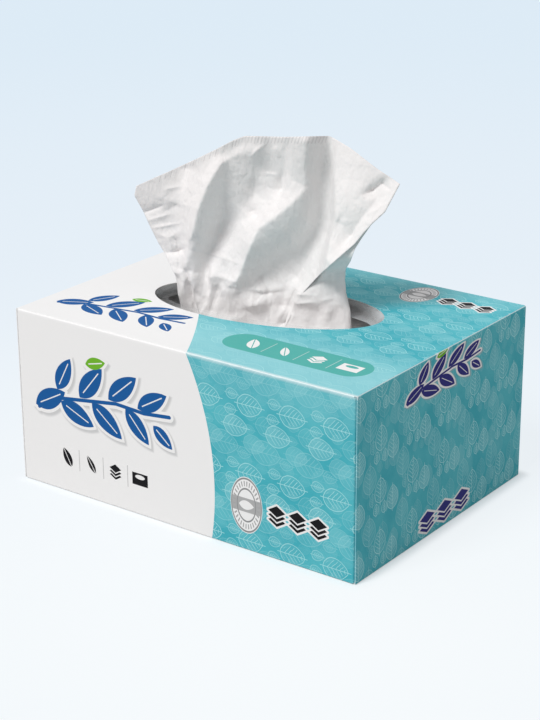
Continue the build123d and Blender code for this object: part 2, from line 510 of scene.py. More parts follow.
def layerGroup():
    # three sheets lying over each other, seen from above the corner, in a field of the given width
    tree, given = openGroup("layerSign", Point=origin, Width=8.4)
    scale = divide(tree, 8.4, given["Width"])
    x, y, z = splitXYZ(tree, vectorNode(tree, "SCALE", given["Point"], scale=scale))
    u = divide(tree, absolute(tree, x), 4.2)

    def sizeAt(lift):
        return plus(tree, u, divide(tree, absolute(tree, minus(tree, y, lift)), 2.5))

    solid, rim = [], []
    for lift in (2.0, 0.0, -2.0):
        sheet = ramp(tree, sizeAt(lift), 0.94, 1.0, 1.0, 0.0)
        if solid:
            # each lower sheet shows only clear of the one above it
            sheet = times(tree, sheet, ramp(tree, sizeAt(lift + 2.0), 1.2, 1.26))
        solid.append(sheet)
        rim.append(ramp(tree, sizeAt(lift), 1.30, 1.38, 1.0, 0.0))
    return closeGroup(tree, Solid=larger(tree, *solid), Rim=larger(tree, *rim))


layerSign = layerGroup()


def iconGroup():
    # small signs for a leaf, a feather, layers and a box, side by side in mm
    tree, given = openGroup("iconPrint", Point=origin, Step=17.0)
    x, y, z = splitXYZ(tree, given["Point"])

    def leafSign(steps, turn, length, width):
        place = joinXYZ(tree, times(tree, given["Step"], steps), 0.0)
        size = {"Turn": turn, "Length": length, "Width": width}
        leaf = useGroup(tree, leafShape, Point=given["Point"], Place=place, **size)
        vein = isBelow(tree, leaf["Across"], 0.22)
        return times(tree, inside(tree, leaf["Distance"], 0.0, 0.1), minus(tree, 1.0, vein))

    right = joinXYZ(tree, minus(tree, x, given["Step"]), y)
    layers = useGroup(tree, layerSign, Point=right)["Solid"]
    last = absolute(tree, linear(tree, given["Step"], -2.0, x))
    box = times(tree, inside(tree, last, 5.3, 0.1), inside(tree, absolute(tree, y), 3.5, 0.1))
    hole = vectorNode(tree, "LENGTH", joinXYZ(tree, last, linear(tree, y, 2.6, -3.4)))
    box = times(tree, box, ramp(tree, hole, 3.1, 3.4))
    leaf, feather = leafSign(-1.0, 118.0, 11.6, 5.6), leafSign(0.0, 122.0, 11.0, 4.0)
    return closeGroup(tree, Sign=larger(tree, leaf, feather, layers, box))


iconPrint = iconGroup()


# middle and size of each drawing on the sides that carry it
places = {
    "sprig": {
        "front": (-50.5, 58.0, 0.95, 0.95),
        "top": (-59.5, -50.0, 0.80, 0.80),
        "right": (-1.5, 86.5, 0.72, 0.50),
    },
    "seal": {"front": (44.0, 25.0, 10.0, 15.5), "top": (54.0, 63.0, 9.8, 13.5)},
    "signs": {"front": (-60.0, 20.5, 1.0, 1.0), "top": (46.7, -51.4, 1.16, 1.16)},
    "count": {
        "front": (75.5, 24.0, 12.6, 12.6),
        "top": (84.0, 62.0, 11.4, 11.4),
        "right": (2.0, 8.6, 17.0, 13.0),
    },
}
# middle, half of the straight part and radius
capsulePlace = (54.0, -51.4, 33.0, 11.0)
# ranges run from one place to another, some with the shares at both
printValues = {
    "leafStart": (5.6, 5.4),
    "leafOnTop": 11.0,
    "leafOnEnds": (7.0, 5.0),
    "largerOnEnds": 0.15,
    "firmerOnEnds": 0.6,
    "repeat": ((6.0, 26.0), (-3.0, 37.0)),
    "secondScale": 1.12,
    "secondShift": (17.0, 9.0, 0.0),
    "secondRepeat": (29.0, 41.0),
    "secondShares": (0.8, 0.30),
    "cloudRange": (0.34, 0.66),
    "paleFront": (-54.0, -18.0, 0.72, 0.0),
    "paleBack": (58.0, 80.0, 0.0, 0.3),
    "paleUp": (70.0, 99.0, 0.0, 0.18),
    # the worn marks along the creases also carry a painted highlight, stronger on the top and bottom
    # creases
    "wearAndHighlightBend": (0.06, 0.22),
    "wearAndHighlightFibre": (0.30, 0.62, 0.45, 1.0),
    "wearAndHighlightLevel": (0.50, 0.26),
    # the crease band is a painted highlight beside the front and top crease
    "paintedCreaseHighlightBand": (0.4, 2.6, 0.42, 0.0),
    "inkOverEdges": 2.4,
    "roughness": (0.85, 0.50),
    "specular": 0.04,
}


def makePrintedBoard(values):
    material, tree, shader = newMaterial("printedPaperboard")
    point = objectMillimetres(tree)
    x, y, z = splitXYZ(tree, point)
    half = (cartonSize["length"] / 2, cartonSize["depth"] / 2, cartonSize["height"] / 2)
    centred = vectorNode(tree, "SUBTRACT", point, (0.0, 0.0, half[2]))
    outside = vectorNode(tree, "SUBTRACT", vectorNode(tree, "ABSOLUTE", centred), half)
    overX, overY, overZ = splitXYZ(tree, outside)

    # how far under the outer surface of the closed box, with its rounded creases
    crease = cartonSize["crease"]
    core = vectorNode(tree, "ADD", outside, (crease, crease, crease))
    coreX, coreY, coreZ = splitXYZ(tree, core)
    corner = vectorNode(tree, "LENGTH", vectorNode(tree, "MAXIMUM", core, origin))
    most = larger(tree, coreX, coreY, coreZ)
    skin = minus(tree, plus(tree, corner, smaller(tree, most, 0.0)), crease)
    printed = isAbove(tree, skin, -cartonSize["printDepth"])

    def side(over, others, test, place, limit):
        return times(tree, isAbove(tree, over, larger(tree, *others)), test(tree, place, limit))

    onTop = side(overZ, (overX, overY), isAbove, z, half[2])
    onBase = side(overZ, (overX, overY), isBelow, z, half[2])
    onFront = side(overY, (overX, overZ), isBelow, y, 0.0)
    onBack = side(overY, (overX, overZ), isAbove, y, 0.0)
    onLeft = side(overX, (overY, overZ), isBelow, x, 0.0)
    onRight = side(overX, (overY, overZ), isAbove, x, 0.0)
    faces = {"front": (onFront, x, z), "top": (onTop, x, y), "right": (onRight, y, z)}

    def beyond(name, u, v):
        (cu, cv), radius = sweeps[name]
        away = vectorNode(tree, "DISTANCE", joinXYZ(tree, u, v), (cu, cv, 0.0))
        return ramp(tree, away, radius - 0.1, radius + 0.1)

    tealField = plus(
        tree,
        times(tree, onTop, beyond("top", x, y)),
        times(tree, onFront, beyond("front", x, z)),
        times(tree, onLeft, beyond("left", y, z)),
        times(tree, onBack, beyond("back", x, z)),
        onRight,
    )

    # the leaves lie level on top, front and back, and stand on the ends
    ends = plus(tree, onLeft, onRight)
    flat = plus(tree, onTop, onBase)
    endU, endV = values["leafOnEnds"]
    sideU = plus(tree, times(tree, x, minus(tree, 1.0, ends)), times(tree, plus(tree, z, endU), ends))
    sideV = plus(
        tree,
        times(tree, z, plus(tree, onFront, onBack)),
        times(tree, plus(tree, y, values["leafOnTop"]), flat),
        times(tree, linear(tree, y, -1.0, endV), ends),
    )
    startU, startV = values["leafStart"]
    start = joinXYZ(tree, plus(tree, sideU, startU), minus(tree, sideV, startV))
    start = vectorNode(tree, "SCALE", start, scale=linear(tree, ends, values["largerOnEnds"], 1.0))
    across, up = (linear(tree, ends, *repeat) for repeat in values["repeat"])
    pattern = useGroup(tree, leafPattern, Point=start, Across=across, Up=up)
    second = vectorNode(tree, "SCALE", start, scale=values["secondScale"])
    second = vectorNode(tree, "ADD", second, values["secondShift"])
    across, up = values["secondRepeat"]
    between = useGroup(tree, leafPattern, Point=second, Across=across, Up=up)
    cloud = ramp(tree, noiseNode(tree, point, 0.045, 3.0, 0.55), *values["cloudRange"])
    teal = mixColour(tree, cloud, inks["tealDeep"], inks["teal"])
    # paler towards the front and back edges of the top, and up the front
    edges = plus(tree, ramp(tree, y, *values["paleFront"]), ramp(tree, y, *values["paleBack"]))
    front = ramp(tree, z, *values["paleUp"])
    pale = plus(tree, times(tree, onTop, edges), times(tree, onFront, front))
    firm = linear(tree, ends, values["firmerOnEnds"], 1.0)
    fillShare, lineShare = values["secondShares"]

    def painted(colour, *coats):
        # each coat is its share and its ink
        for share, ink in coats:
            colour = mixColour(tree, share, colour, inks[ink] if isinstance(ink, str) else ink)
        return colour

    teal = painted(
        teal,
        (pale, "tealPale"),
        (times(tree, between["Pale"], fillShare), "tealPale"),
        (times(tree, between["Line"], lineShare), "tealLine"),
        (pattern["Pale"], "tealPale"),
        (smaller(tree, times(tree, pattern["Line"], firm), 1.0), "tealLine"),
    )
    colour = painted(inks["white"], (tealField, teal))

    def moved(value, by, share=1.0):
        return linear(tree, value, share, -by * share)

    def placed(name):
        # one drawing's own point, from its place and size on each side that carries it
        across, high, masks = [], [], []
        for face, (left, low, wide, tall) in places[name].items():
            mask, u, v = faces[face]
            across.append(times(tree, mask, moved(u, left, 1 / wide)))
            high.append(times(tree, mask, moved(v, low, 1 / tall)))
            masks.append(mask)
        return joinXYZ(tree, plus(tree, *across), plus(tree, *high)), plus(tree, *masks)

    def window(point, left, right, low, high):
        u, v, none = splitXYZ(tree, point)
        inU = times(tree, isAbove(tree, u, left), isBelow(tree, u, right))
        inV = times(tree, isAbove(tree, v, low), isBelow(tree, v, high))
        return times(tree, inU, inV)

    spot, mask = placed("sprig")
    sprig = useGroup(tree, sprigPrint, Point=spot)
    raised = times(tree, minus(tree, 1.0, onTop), mask)
    colour = painted(
        colour,
        (times(tree, raised, times(tree, sprig["Shadow"], 0.55)), "grey"),
        (times(tree, raised, sprig["Rim"]), "white"),
        (times(tree, mask, sprig["Blue"]), mixColour(tree, onRight, inks["blue"], inks["indigo"])),
        (times(tree, mask, sprig["Green"]), "green"),
    )

    spot, mask = placed("seal")
    seal = useGroup(tree, sealPrint, Point=spot)
    disc = times(tree, mask, seal["Disc"])
    colour = painted(colour, (disc, "white"), (times(tree, disc, seal["Grey"]), "sealGrey"))

    # a capsule on the top, with four white signs; the same signs in black on the front
    middleU, middleV, straight, radius = capsulePlace
    inner = larger(tree, minus(tree, absolute(tree, moved(x, middleU)), straight), 0.0)
    away = vectorNode(tree, "LENGTH", joinXYZ(tree, inner, moved(y, middleV)))
    capsule = times(tree, onTop, inside(tree, away, radius, 0.1))
    colour = painted(colour, (times(tree, capsule, 0.92), "capsule"))
    spot, mask = placed("signs")
    signs = useGroup(tree, iconPrint, Point=spot)["Sign"]
    signs = times(tree, mask, times(tree, signs, window(spot, -25.0, 42.0, -6.5, 6.5)))
    signU, signV, none = splitXYZ(tree, spot)
    rule = absolute(tree, minus(tree, mathNode(tree, "PINGPONG", signU, 17.0), 8.5))
    rule = times(tree, mask, ramp(tree, rule, 0.12, 0.3, 0.45, 0.0))
    rule = times(tree, rule, window(spot, -9.5, 26.5, -6.2, 6.2))
    signInk = mixColour(tree, onTop, inks["black"], inks["white"])
    colour = painted(colour, (larger(tree, signs, rule), signInk))

    # rows of three layer signs where such boxes give their count
    spot, mask = placed("count")
    countU, countV, none = splitXYZ(tree, spot)
    each = joinXYZ(tree, mathNode(tree, "WRAP", countU, 0.5, -0.5), countV)
    layers = useGroup(tree, layerSign, Point=each, Width=0.86)
    inRow = times(tree, mask, window(spot, -1.5, 1.5, -0.9, 0.9))
    countInk = mixColour(tree, onRight, inks["black"], inks["indigo"])
    colour = painted(
        colour,
        (times(tree, inRow, layers["Rim"]), "white"),
        (times(tree, inRow, layers["Solid"]), countInk),
    )

    # ink worn a little thin along the creases, which also stands for a painted highlight along them,
    # stronger on the top and bottom creases; bare board on cut edges and inside
    paper = useGroup(tree, fibre, Point=point, Size=0.5)
    bend = minus(tree, corner, larger(tree, most, 0.0))
    thin = ramp(tree, paper["Fibre"], *values["wearAndHighlightFibre"])
    wearAndHighlight = times(tree, ramp(tree, bend, *values["wearAndHighlightBend"]), thin)
    level = linear(tree, isAbove(tree, overZ, -2.0), *values["wearAndHighlightLevel"])
    # painted highlight: a soft pale band beside the crease between the front and the top
    beside = times(tree, smaller(tree, overY, overZ), -1.0)
    there = times(tree, isBelow(tree, y, 0.0), isAbove(tree, z, half[2]))
    band = times(tree, ramp(tree, beside, *values["paintedCreaseHighlightBand"]), there)
    colour = painted(colour, (times(tree, wearAndHighlight, level), "white"), (band, "paintedCreaseHighlight"))
    greyBoard = painted(
        inks["board"],
        (paper["Mottle"], "boardLight"),
        (times(tree, ramp(tree, paper["Fibre"], 0.55, 0.75), 0.35), "boardFibre"),
        (times(tree, isAbove(tree, overZ, -0.46), 0.8), "boardEdge"),
    )
    # the ink runs over the flaps' cut edges at the upright corners
    reach = -values["inkOverEdges"]
    corners = times(tree, isAbove(tree, overX, reach), isAbove(tree, overY, reach))
    printed = larger(tree, printed, corners)
    colour = mixColour(tree, printed, greyBoard, colour)
    fillNamed(tree, shader.inputs, {
        "Base Color": colour,
        "Roughness": ramp(tree, printed, 0.0, 1.0, *values["roughness"]),
        "Specular IOR Level": values["specular"],
    })
    height = linear(tree, paper["Mottle"], 0.6, times(tree, paper["Fibre"], 0.4))
    bumpInto(tree, shader, height, 0.12, 0.0002)
    return material


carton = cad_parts["carton"]
printedBoard = makePrintedBoard(printValues)
for slot in carton.material_slots:
    slot.material = printedBoard
print("carton printed")


filmValues = {
    "rimTop": 98.55,
    "floorTop": 94.6,
    "clear": 0.07,
    "onSlope": 0.12,
    # where the painted highlight at the film's right tip begins and ends, and how much haze it adds
    "tipHighlightFrom": 22.0,
    "tipHighlightTo": 66.0,
    "tipHighlightHaze": 0.34,
    "roughness": 0.16,
    "colour": (0.80, 0.82, 0.83, 1.0),
}


def makeClearFilm(values):
    material, tree, shader = newMaterial("clearSlitFilm")
    point = objectMillimetres(tree)
    x, y, z = splitXYZ(tree, point)
    slope = ramp(tree, z, values["floorTop"] + 0.2, values["rimTop"] - 0.4)
    streaks = noiseNode(tree, vectorNode(tree, "MULTIPLY", point, (0.12, 0.6, 0.2)), 1.0, 3.0)
    filmOpacity = linear(tree, slope, values["onSlope"], values["clear"])
    # painted highlight: the film is made hazier, so paler, towards its right tip
    tip = ramp(tree, x, values["tipHighlightFrom"], values["tipHighlightTo"], 0.0, values["tipHighlightHaze"])
    filmOpacity = plus(tree, filmOpacity, tip)
    filmOpacity = plus(tree, filmOpacity, linear(tree, streaks, 0.12, -0.06))
    fillNamed(tree, shader.inputs, {
        "Alpha": filmOpacity, "Base Color": values["colour"], "Roughness": values["roughness"], "IOR": 1.5})
    bumpInto(tree, shader, streaks, 0.25, 0.0004)
    return material


clearFilm = makeClearFilm(filmValues)
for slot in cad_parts["slit_film"].material_slots:
    slot.material = clearFilm
print("slit film made clear")


paperValues = {
    "colour": (0.838, 0.823, 0.820, 1.0),
    "shade": (0.808, 0.788, 0.784, 1.0),
    "crinkle": 2.4,
    "crimpDepth": 4.0,
    "crimpGap": 1.8,
    "crimpEnd": 114.0,
    "crimpShade": (0.52, 0.51, 0.515, 1.0),
}


def makeTissuePaper(name, values, crimped):
    material, tree, shader = newMaterial(name)
    point = objectMillimetres(tree)
    paper = useGroup(tree, fibre, Point=point, Size=0.42)
    emboss = newNode(tree, "ShaderNodeTexVoronoi", named={"Vector": point, "Scale": 1.1})
    soft = linear(tree, paper["Mottle"], 0.5, times(tree, paper["Fibre"], 0.5))
    colour = mixColour(tree, ramp(tree, soft, 0.3, 0.65), values["shade"], values["colour"])
    height = linear(tree, emboss.outputs["Distance"], 0.25, soft)
    # faint crinkles, a few millimetres apart
    crinkle = noiseNode(tree, vectorNode(tree, "MULTIPLY", point, (1.0, 1.0, 0.6)), 0.16, 2.0, 0.55)
    crinkle = absolute(tree, minus(tree, crinkle, 0.5))
    height = linear(tree, ramp(tree, crinkle, 0.0, 0.16), values["crinkle"], height)
    if crimped:
        # the crimped band along the sheet's own top edge, from its map: across and down in mm
        maps = newNode(tree, "ShaderNodeUVMap", uv_map="sheetMap").outputs[0]
        across, down, none = splitXYZ(tree, vectorNode(tree, "SCALE", maps, scale=sheetWidth))
        jitter = noiseNode(tree, joinXYZ(tree, across, 0.0), 0.35, 1.0)
        line = mathNode(tree, "SINE", times(tree, across, 2 * math.pi / values["crimpGap"]))
        reach = linear(tree, jitter, 3.0, values["crimpDepth"] - 1.5)
        band = isBelow(tree, down, reach)
        press = times(tree, ramp(tree, line, 0.0, 0.8), band)
        patchy = ramp(tree, jitter, 0.42, 0.58)
        steady = times(tree, ramp(tree, across, 62.0, 80.0), 0.8)
        ended = isBelow(tree, across, values["crimpEnd"])
        begun = ramp(tree, across, 3.0, 18.0, 0.15, 1.0)
        press = times(tree, press, larger(tree, patchy, steady), ended, begun)
        colour = mixColour(tree, times(tree, press, 0.42), colour, values["crimpShade"])
        height = linear(tree, press, -1.6, height)
    fillNamed(tree, shader.inputs, {
        "Base Color": colour, "Roughness": 0.92, "Specular IOR Level": 0.15, "Sheen Weight": 0.08})
    bumpInto(tree, shader, height, 0.35, 0.00025)
    return material


crimpedPaper = makeTissuePaper("crimpedTissuePaper", paperValues, True)
stackPaper = makeTissuePaper("stackTissuePaper", paperValues, False)


# Along is mm along the sheet's line, which turns back as it rises; up is mm over the carton's top.
sheetValues = {
    "turnFoot": 10.8,
    "turnTop": 23.0,
    "centre": (-4.2, 2.6),
    "foot": -15.05,
    "rim": 99.0,
    "rise": 94.0,
    "columns": 186,
    "pleatColumns": 10,
    "stripColumns": 26,
    "rows": 165,
    "thickness": 0.22,
    "hemWidth": 4.6,
    "tuck": 17.0,
    "slitHalf": (60.0, 15.0),
    "slitGap": 1.2,
    "slitEnds": 0.9,
    "heldFrom": 18.0,
    "heldOver": 24.0,
    "towardsFrom": -4.0,
    "towardsOver": 30.0,
}
# Tips of folds and creases; crumple besides them, its rise everywhere and its further rise near the foot
reliefValues = {
    "foldTip": (0.004, 0.063),
    "creaseTip": (0.01, 0.1),
    "footAt": 15.0,
    "footReach": 55.0,
    "fine": (0.10, 0.30),
    "fineGrain": (6, 17),
    "ridges": (0.15, 0.35),
    "ridgeGrain": (11, 14),
    "hemSlope": 0.42,
}
# The strip behind the hem: distances back from the hem's edge and the reaches over which they come in
stripValues = {
    "partsOver": 12.0,
    "pleatBack": (0.5, 1.7),
    "ply": 0.05,
    "lowFrom": 20.0,
    "lowOver": 14.0,
    "hiddenBack": (2.4, 2.2),
    "lowestRows": 7,
    "calmRows": 16,
    "followsOver": 3.0,
    "back": 1.1,
    "slope": 0.20,
    "foldStep": 1.6,
    "foldOver": 1.1,
    "foldSlope": (0.16, 0.5),
    "foldSlopeFrom": 34.0,
    "foldSlopeOver": 12.0,
    "crumple": 0.5,
    "shownOver": 6.0,
    "shownStart": 0.15,
    "hemGap": 0.1,
    "hemGapLow": 3.0,
}
outlineLeft = [
    (-51, -15), (-51.5, -7), (-52.5, 3), (-53.6, 11), (-58.8, 18.8), (-64, 27.7), (-67.9, 36.7),
    (-71.3, 45.8), (-75.3, 54), (-73.5, 59.6),
]
outlineTop = [
    (-73.5, 59.6), (-63, 65), (-53.5, 69.7), (-39.7, 76.8), (-27, 83.6), (-18.5, 88.5), (-11.5, 91.6),
    (10, 92.2), (33.8, 93.9), (44.5, 88.3), (58.5, 78.8), (71.4, 71.5),
]
hemLine = [
    (9, -15), (11.5, -9), (13.4, -4.4), (15.7, 1), (19.2, 7.1), (24.1, 13.1), (30.9, 20.7),
    (38.5, 28.3), (45.1, 35), (49.1, 38.7), (52.9, 44), (57.7, 49.9), (64.3, 56.6), (71.4, 71.5),
]
rearLine = [
    (46.5, -15), (45.8, -5.2), (45.3, 1.6), (43.4, 10.8), (43.4, 18.3), (44.7, 25), (47.1, 29.4),
    (49.2, 36.1), (52.9, 42.5), (57.7, 49.9), (64.3, 56.6), (71.4, 71.5),
]
rearFold = [(44.5, -15), (43.7, -2.8), (41.7, 5.2), (39.1, 12.9), (38.7, 21), (37.7, 34.2), (37.2, 47)]

# Folds: points from top to foot, rise towards the viewer in mm, width to the left and right, crispness
folds = {
    "flapValley": ([(-44.4, 71.8), (-50.9, 51.7), (-48.6, 30.6), (-49.1, 12.0), (-46.6, -2.3)],
        [-7.7, -0.6, -4.8, 1.8, -2.3], 14.2, 4.7, 0.44),
    "leftRidge": ([(-17.4, 80.3), (-24.9, 74.9), (-32.8, 62.7), (-39.1, 48.8), (-42.5, 35.5),
        (-47.1, 26.3), (-46.0, 14.0), (-48.0, 0.5)],
        [6.4, 9.1, 10.6, 11.5, 12.7, 11.0, 9.4, 13.1], 6.0, 13.6, 0.42),
    "leftValley": ([(-20.3, 78.2), (-24.1, 61.6), (-24.4, 46.0), (-31.7, 27.3), (-36.2, 13.2),
        (-36.9, 1.8)],
        [-8.5, -8.3, -10.6, -13.1, -8.0, -3.6], 9.0, 14.4, 0.45),
    "middleRidge": ([(21.6, 90.1), (21.1, 77.4), (22.8, 66.3), (12.9, 56.0), (3.0, 47.6), (-4.6, 41.6),
        (-9.2, 32.2), (-13.6, 20.3), (-15.7, 11.8)],
        [6.9, 4.9, 3.9, 6.2, 8.7, 8.5, 11.3, 9.9, 8.3], 10.7, 13.6, 1.00),
    "hollow": ([(33.2, 92.2), (31.0, 73.5), (30.9, 58.9), (29.1, 45.8), (19.8, 32.3), (4.2, 23.4),
        (-4.8, 12.4), (-13.2, 6.7)],
        [-13.4, -15.0, -14.5, -13.8, -10.0, -10.1, -12.0, -3.5], 9.3, 17.7, 0.00),
    "flapEdge": ([(38.1, 93.1), (37.3, 71.1), (38.0, 50.2), (33.8, 29.4)],
        [3.2, 8.9, 14.9, 16.0], 1.2, 26.0, 0.77),
    "flapCrease": ([(64.6, 73.7), (57.1, 67.4), (51.4, 63.9), (44.8, 57.7), (39.8, 49.4)],
        [-1.1, -4.6, -0.5, 0.0, -2.4], 2.0, 5.0, 0.73),
    "flapFold": ([(56.8, 62.2), (52.0, 52.5), (46.5, 42.4), (40.6, 33.5)],
        [0.8, -1.4, -4.1, -0.3], 7.5, 1.4, 0.55),
    "belowHollow": ([(29.8, 47.3), (22.3, 30.7), (15.8, 16.5)], [-0.7, -4.5, -7.2], 13.7, 5.4, 0.52),
    "shoulder": ([(-3.8, 72.9), (-5.8, 60.6), (-14.1, 50.6), (-22.6, 40.3)],
        [-5.6, -6.5, -2.4, -3.2], 10.4, 11.9, 0.19),
    "midSweep": ([(-6.7, 49.1), (-14.9, 45.3), (-22.1, 36.0), (-25.7, 23.3)],
        [-5.9, -1.1, -0.1, 3.6], 11.4, 4.2, 0.52),
    "baseShelf": ([(-16.2, 8.0), (-4.2, 4.3), (8.7, 6.8)], [2.2, -5.6, -0.2], 4.1, 1.8, 0.36),
    "basePuff": ([(-14.0, -2.3), (-3.9, 1.0), (6.2, -1.4)], [2.1, 6.4, -4.8], 3.2, 11.8, 0.22),
    "baseDiagonal": ([(1.9, 5.9), (-8.1, -5.7), (-23.8, -12.6)], [4.8, 0.2, 10.1], 4.6, 6.2, 0.54),
    "baseOne": ([(-46.8, 12.1), (-42.9, 0.8), (-39.8, -10.7)], [-5.4, -6.0, -0.7], 2.7, 3.3, 0.49),
    "baseOneRidge": ([(-43.2, 8.7), (-39.0, -1.2), (-35.2, -11.0)], [5.2, 5.8, 6.6], 2.2, 8.0, 0.62),
    "baseTwo": ([(-32.2, 12.1), (-31.2, 4.9), (-32.2, -2.4), (-35.9, -10.2)],
        [6.7, 4.1, 3.5, 5.0], 1.2, 11.0, 0.84),
    "baseTwoDip": ([(-27.2, 8.7), (-27.0, 2.0), (-29.3, -5.6), (-29.7, -13.1)],
        [-1.3, -4.1, -5.1, 3.9], 2.4, 3.0, 0.37),
    "baseThree": ([(-16.0, 12.8), (-24.3, 5.1), (-28.6, -4.5)], [2.5, 3.9, 6.2], 3.5, 12.6, 0.66),
    "baseFour": ([(15.4, 9.6), (11.7, -3.2), (8.1, -11.2)], [0.0, -12.1, -15.0], 1.5, 1.2, 0.49),
    "baseFive": ([(30.9, 4.7), (27.4, -2.5), (26.4, -9.8)], [-2.8, 0.7, -1.2], 5.1, 2.7, 0.62),
    "topStreakOne": ([(-5.6, 91.1), (-7.6, 69.7)], [0.5, 1.7], 3.4, 3.2, 0.50),
    "topStreakTwo": ([(11.1, 92.2), (8.4, 64.2)], [0.5, -6.5], 9.1, 2.2, 0.51),
    "topStreakThree": ([(3.1, 92.1), (3.1, 74.0)], [-3.5, -0.9], 6.6, 8.0, 0.51),
    "flapWrinkleOne": ([(-76.1, 46.0), (-63.0, 44.1), (-50.7, 50.4)],
        [-1.4, 0.1, -2.2], 3.9, 4.7, 0.72),
    "flapWrinkleTwo": ([(-69.8, 34.6), (-57.9, 30.6), (-48.9, 35.9)], [0.6, 2.9, 1.9], 6.0, 4.4, 0.66),
    "flapWrinkleThree": ([(-64.1, 22.6), (-55.0, 21.8), (-49.7, 24.8)],
        [-1.1, -0.5, -5.1], 1.2, 3.7, 0.85),
    "flapWrinkleFour": ([(-57.6, 12.0), (-52.0, 11.6), (-46.5, 12.7)],
        [6.3, 2.6, -0.3], 3.0, 8.0, 0.78),
}

# Small creases: middle along and up, angle in degrees, length, width, rise
creases = [
    (-15, 8, 6, 21, 1.8, -1.6), (-23, 12, 174, 17, 1.5, 1.4), (-7, 19, 1, 20, 1.3, 1.0),
    (-7, 1, 111, 15, 1.6, 1.6), (-30, -2, 79, 21, 2.0, -1.6), (-19, -3, 103, 23, 1.8, 1.5),
    (0, -1, 99, 21, 1.8, -1.5), (-42, 1, 79, 25, 1.6, 1.2), (-50, 25, 120, 15, 1.6, -1.2),
    (-65, 47, 24, 17, 1.5, -1.8), (-58, 38, 16, 24, 1.0, 1.0), (-55, 23, 15, 10, 1.2, -1.2),
    (-63, 42, 20, 19, 1.2, 1.0), (-53, 60, 17, 12, 1.2, 0.8), (-48, 43, 87, 51, 0.9, 0.9),
    (-42, 33, 121, 9, 1.4, -1.0), (-5, 84, 44, 11, 1.2, 1.4), (6, 84, 115, 7, 1.0, 1.0),
    (3, 72, 1, 12, 0.9, 0.6), (8, 68, 90, 11, 1.2, -0.8), (-8, 51, 21, 7, 1.0, -0.7),
    (-7, 68, 88, 25, 2.4, -1.4), (59, 57, 34, 14, 1.4, 1.0), (64, 70, 145, 9, 1.4, -1.4),
    (54, 55, 54, 20, 1.6, -1.0), (43, 61, 96, 18, 1.6, 0.9), (19, 8, 152, 8, 1.3, 1.3),
    (-41, 3, 144, 17, 1.5, -1.1), (7, 14, 119, 14, 2.0, 1.0), (-6, 25, 18, 13, 1.2, -0.8),
    (22, 4, 8, 9, 1.0, -1.4),
]
rearCreases = [
    (21, 3, 10, 15, 1.6, 1.8), (34, -2, 66, 16, 1.4, 2.2), (27, -6, 82, 16, 2.2, -2.0),
    (21, -8, 96, 14, 1.6, 1.2), (30, 10, 75, 26, 2.6, 1.0), (36, 22, 80, 20, 1.4, -0.8),
    (42, 2, 96, 22, 1.4, 0.9), (26, 14, 30, 12, 1.4, -0.7), (40, -8, 88, 12, 1.6, -1.0),
    (33, 6, 20, 10, 1.2, 0.6), (38, -2, 72, 12, 1.3, -1.6),
]


def smoothStep(share):
    share = np.clip(share, 0, 1)
    return share * share * (3 - 2 * share)


def roundKernel(reach):
    return np.hanning(2 * reach + 1) / np.hanning(2 * reach + 1).sum()


def evened(line, reach):
    return np.convolve(np.pad(line, reach, mode="edge"), roundKernel(reach), "valid")


def alongCurve(points, share):
    # points at shares of the curve's length, rounded between its corners
    points = np.array(points, float)
    lengths = np.r_[0, np.cumsum(np.linalg.norm(np.diff(points, axis=0), axis=1))]
    where = np.asarray(share) * lengths[-1]
    fine = np.linspace(0, lengths[-1], 400)
    line = np.c_[np.interp(fine, lengths, points[:, 0]), np.interp(fine, lengths, points[:, 1])]
    kernel = roundKernel(8)
    for axis in (0, 1):
        middle = line[:, axis]
        before, after = 2 * middle[0] - middle[8:0:-1], 2 * middle[-1] - middle[-2:-10:-1]
        line[:, axis] = np.convolve(np.r_[before, middle, after], kernel, "valid")
    return np.c_[np.interp(where, fine, line[:, 0]), np.interp(where, fine, line[:, 1])]


def atHeight(points, heights):
    points = np.array(sorted(points, key=lambda item: item[1]), float)
    return np.interp(heights, points[:, 1], points[:, 0])


def nearestOnLine(line, along, up, values=None):
    # gap to a bent line, which side of it (picture left is negative) and a value read along it
    best = np.full(along.shape, 1e9)
    side = np.zeros_like(along)
    value = np.zeros_like(along)
    values = values or [0.0] * len(line)
    for (a0, u0), (a1, u1), v0, v1 in zip(line, line[1:], values, values[1:]):
        da, du = a1 - a0, u1 - u0
        share = np.clip(((along - a0) * da + (up - u0) * du) / (da * da + du * du), 0, 1)
        gapA, gapU = along - (a0 + share * da), up - (u0 + share * du)
        gap = np.hypot(gapA, gapU)
        near = gap < best
        best = np.where(near, gap, best)
        side = np.where(near, (da * gapU - du * gapA) / math.hypot(da, du), side)
        value = np.where(near, v0 + (v1 - v0) * share, value)
    return best, side, value


def sharpFall(ratio, tip):
    # falls off on both sides of a line, rounded at its tip
    square, start = tip
    return np.exp(-(np.sqrt(ratio ** 2 + square) - start))


def foldDepth(along, up):
    # sum of all folds: each falls off from its line, with its own width to the left and right
    total = np.zeros_like(along)
    for line, rises, leftWidth, rightWidth, crisp in folds.values():
        gap, side, rise = nearestOnLine(line, along, up, rises)
        width = leftWidth + (rightWidth - leftWidth) * (0.5 + 0.5 * np.tanh(side / (0.5 + 0.3 * gap)))
        ratio = gap / width
        smooth = 1 / (1 + ratio ** 2) ** 1.5
        total += rise * (smooth * (1 - crisp) + sharpFall(ratio, reliefValues["foldTip"]) * crisp)
    return total


def creaseDepth(along, up, table):
    total = np.zeros_like(along)
    for a, u, degrees, length, width, rise in table:
        ca, sa = math.cos(math.radians(degrees)), math.sin(math.radians(degrees))
        run = ((along - a) * ca + (up - u) * sa) / (length / 2)
        off = (up - u) * ca - (along - a) * sa
        fall = sharpFall(off / width, reliefValues["creaseTip"])
        total += rise * np.clip(1 - run ** 2, 0, None) * fall
    return total


